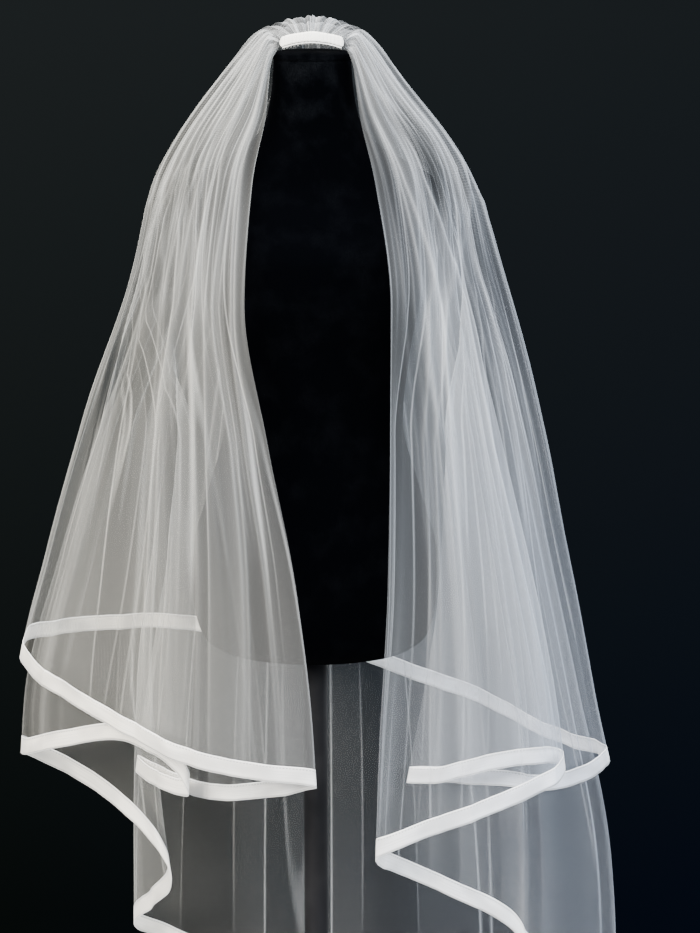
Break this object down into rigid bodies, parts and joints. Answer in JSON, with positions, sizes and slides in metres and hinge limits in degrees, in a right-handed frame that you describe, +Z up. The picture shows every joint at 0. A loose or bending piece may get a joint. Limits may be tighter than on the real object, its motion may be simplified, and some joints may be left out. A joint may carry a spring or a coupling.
{
  "type": "bridal veil on dress form",
  "caption": "Two-tier bridal veil of fine net with a satin ribbon edge, gathered to a covered hair comb and worn open at the front over a limbless dress form on a stand.",
  "frame": {"origin": "centre of the stand base's underside, on the floor", "axes": "+Z up, -Y is the front of the form, where the veil is open, and -X is the wearer's right side, at the left from the front"},
  "size_m": [0.8252, 0.3964, 1.5354],
  "materials": {
    "black_velvet": "matt velvet",
    "dark_metal": "satin",
    "white_net": "fine sheer net",
    "white_satin": "satin",
    "cream_band": "matt",
    "clear_comb": "gloss"
  },
  "bodies": {
    "root": {"form_torso": "black_velvet", "neck_cap": "black_velvet", "stand_base": "dark_metal", "stand_pole": "dark_metal", "comb_band": "cream_band", "comb_teeth": "clear_comb", "net_upper_left": "white_net", "net_upper_right": "white_net", "net_lower_left": "white_net", "net_lower_right": "white_net", "ribbon_upper_left": "white_satin", "ribbon_upper_right": "white_satin", "ribbon_lower_left": "white_satin", "ribbon_lower_right": "white_satin"}
  },
  "joints": []
}
